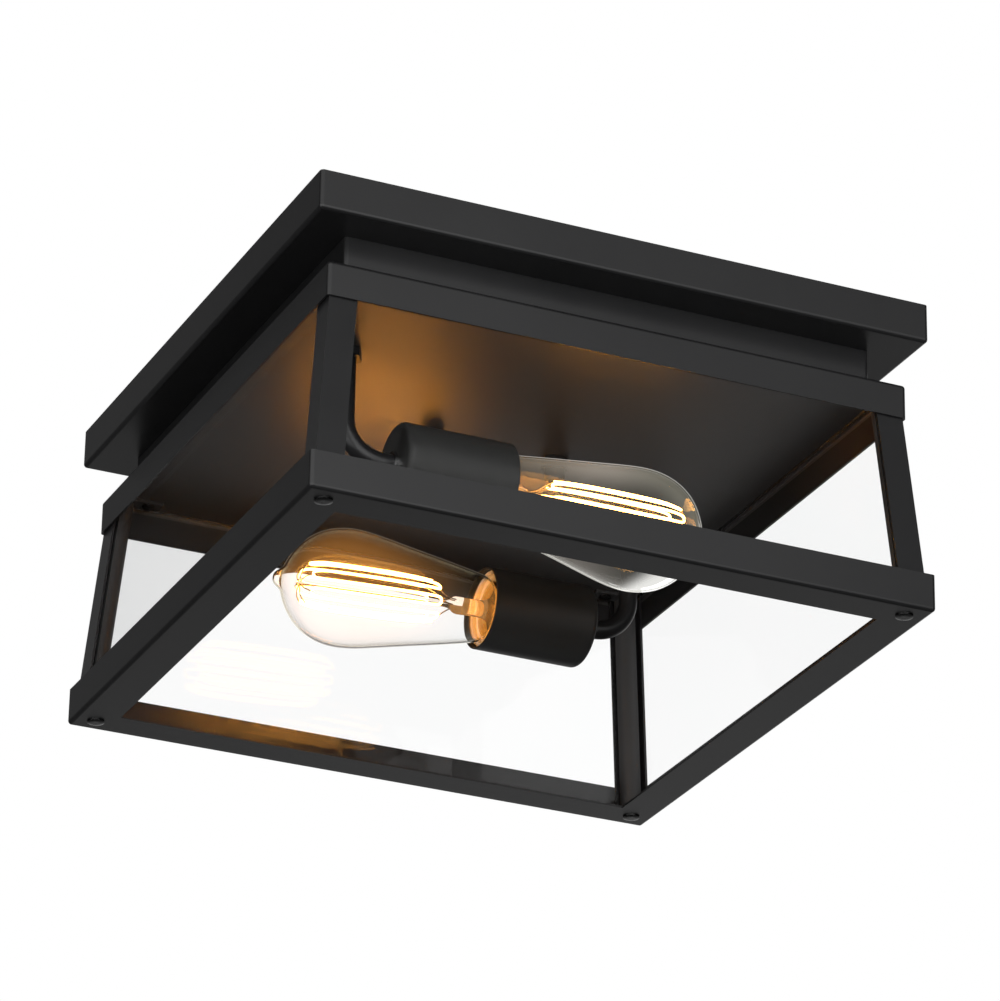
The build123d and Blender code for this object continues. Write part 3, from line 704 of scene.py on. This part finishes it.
# Studio tent, which only reflections see: a pale backdrop behind the light, an upright panel in front of it
# and a lit top
BACKDROP_WAY = Vector((0.5, 0.8, 0.3)).normalized()
BACKDROP_LEVELS = [(0.0, 0.03), (0.45, 0.04), (0.6, 0.07), (0.66, 0.09), (0.73, 0.2), (0.9, 0.6)]
PANEL_LEVEL, TOP_LEVEL = 1.75, 0.7
PANEL_RIGHT, PANEL_LEFT = (40.0, 12.0), (-105.0, -70.0)  # degrees aside, from none to full
PANEL_LOW, PANEL_HIGH, TENT_TOP = (-0.55, -0.35), (0.52, 0.4), (0.78, 0.97)  # heights, from none to full
BELOW, FAR_SIDE = (0.35, 0.1), (0.78, 0.92)  # white for mirror-smooth glass, from none to full
TENT_R, TENT_AROUND, TENT_UP = 5.0, 48, 24
tent_finish, tree, shader, place = new_material("studio_tent")
tree.nodes.remove(shader)
outward = add(tree, "ShaderNodeVectorMath", operation="NORMALIZE")
tree.links.new(place, outward.inputs[0])
way = axes(tree, outward.outputs["Vector"])
towards = along_way(tree, outward.outputs["Vector"], BACKDROP_WAY)
backdrop = add(tree, "ShaderNodeEmission")
tree.links.new(colours(tree, towards, [(at, (level,) * 3) for at, level in BACKDROP_LEVELS]),
               backdrop.inputs["Color"])
aside = reckon(tree, "ARCTAN2", way["X"], reckon(tree, "MULTIPLY", way["Y"], -1.0))
right_edge, left_edge = (ranged(tree, aside, *(math.radians(a) for a in edge), soft=True)
                         for edge in (PANEL_RIGHT, PANEL_LEFT))
low_edge, high_edge, top = (ranged(tree, way["Z"], *edge, soft=True)
                            for edge in (PANEL_LOW, PANEL_HIGH, TENT_TOP))
panel_wide = reckon(tree, "MULTIPLY", right_edge, left_edge)
panel_tall = reckon(tree, "MULTIPLY", low_edge, high_edge)
panel_lit = reckon(tree, "MULTIPLY", reckon(tree, "MULTIPLY", panel_wide, panel_tall), PANEL_LEVEL)
top_lit = reckon(tree, "MULTIPLY", top, TOP_LEVEL)
panel = add(tree, "ShaderNodeEmission")
tree.links.new(reckon(tree, "ADD", panel_lit, top_lit), panel.inputs["Strength"])
tent_glow = add(tree, "ShaderNodeAddShader")
tree.links.new(backdrop.outputs["Emission"], tent_glow.inputs[0])
tree.links.new(panel.outputs["Emission"], tent_glow.inputs[1])
# Mirror-smooth glass sees white below and behind instead
low_half, far_side = ranged(tree, way["Z"], *BELOW, soft=True), ranged(tree, towards, *FAR_SIDE, soft=True)
white_glow = add(tree, "ShaderNodeEmission")
tree.links.new(reckon(tree, "MAXIMUM", low_half, far_side), white_glow.inputs["Strength"])
rays = add(tree, "ShaderNodeLightPath").outputs
tent_view = add(tree, "ShaderNodeMixShader")
tree.links.new(rays["Is Singular Ray"], tent_view.inputs["Fac"])
tree.links.new(tent_glow.outputs["Shader"], tent_view.inputs[1])
tree.links.new(white_glow.outputs["Emission"], tent_view.inputs[2])
unseen = add(tree, "ShaderNodeBsdfTransparent")
mix_shaders(tree, rays["Glossy Depth"], unseen.outputs["BSDF"], tent_view.outputs["Shader"],
            "Material Output")
lay_out(tree)
bm = bmesh.new()
bmesh.ops.create_uvsphere(bm, u_segments=TENT_AROUND, v_segments=TENT_UP, radius=TENT_R)
bmesh.ops.reverse_faces(bm, faces=bm.faces)
tent = new_object("studio_tent", bm, tent_finish)
tent.visible_camera = False
tent.visible_diffuse = False
tent.visible_shadow = False
tent.visible_volume_scatter = False

# World: a low even light, and white to the camera, metal and glass
SKY_LEVEL = 0.18
world = bpy.data.worlds.new("studio")
bpy.context.scene.world = world
world.use_nodes = True
tree = world.node_tree
sky = tree.nodes["Background"]
sky.inputs["Color"].default_value = (*WHITE, 1.0)
sky.inputs["Strength"].default_value = SKY_LEVEL
white = add(tree, "ShaderNodeBackground", Color=(*WHITE, 1.0), Strength=1.0)
rays = add(tree, "ShaderNodeLightPath").outputs
seen = reckon(tree, "MAXIMUM", rays["Is Camera Ray"], rays["Is Glossy Ray"])
shown = reckon(tree, "MAXIMUM", seen, rays["Is Transmission Ray"])
mix_shaders(tree, shown, sky.outputs["Background"], white.outputs["Background"], "World Output")
lay_out(tree)


def softbox(name, place, aim, side, watts):
    """Large soft square light that points at a place."""
    light = bpy.data.lights.new(name, "AREA")
    light.shape = "RECTANGLE"
    light.size = side
    light.size_y = side
    light.energy = watts
    lamp = bpy.data.objects.new(name, light)
    bpy.context.scene.collection.objects.link(lamp)
    lamp.location = place
    lamp.rotation_euler = (Vector(aim) - Vector(place)).to_track_quat("-Z", "Y").to_euler()
    lamp.visible_glossy = False
    lamp.visible_transmission = False


LIGHTS_AIM = (0, 0, -0.08)
softbox("key_softbox", (-0.5, -2.8, -0.25), LIGHTS_AIM, 1.2, 75.0)
softbox("left_softbox", (-2.2, 1.2, -0.3), LIGHTS_AIM, 0.9, 25.0)

# Camera, fitted to the corners in the photograph
AZIMUTH, ELEVATION, ROLL = (math.radians(a) for a in (-23.963, -24.526, 0.976))
CAMERA_AIM = Vector((0, 0, -0.075))
SHIFT_RIGHT, SHIFT_UP, DISTANCE = 0.00431, 0.00122, 2.5522
SENSOR, FOCAL, CLIP_END = 36.0, 179.5284, 50.0
back = Vector((math.sin(AZIMUTH) * math.cos(ELEVATION), -math.cos(AZIMUTH) * math.cos(ELEVATION),
               math.sin(ELEVATION)))
right = Vector((0, 0, 1)).cross(back).normalized()
up = back.cross(right)
right, up = (math.cos(ROLL) * right + math.sin(ROLL) * up, -math.sin(ROLL) * right + math.cos(ROLL) * up)
eye = CAMERA_AIM + SHIFT_RIGHT * right + SHIFT_UP * up + DISTANCE * back
lens = bpy.data.cameras.new("photo_camera")
lens.sensor_fit = "HORIZONTAL"
lens.sensor_width = SENSOR
lens.lens = FOCAL
lens.clip_end = CLIP_END
camera = bpy.data.objects.new("photo_camera", lens)
bpy.context.scene.collection.objects.link(camera)
camera.matrix_world = Matrix((
    (right.x, up.x, back.x, eye.x),
    (right.y, up.y, back.y, eye.y),
    (right.z, up.z, back.z, eye.z),
    (0, 0, 0, 1)))
bpy.context.scene.camera = camera
bpy.context.scene.view_settings.view_transform = "Standard"
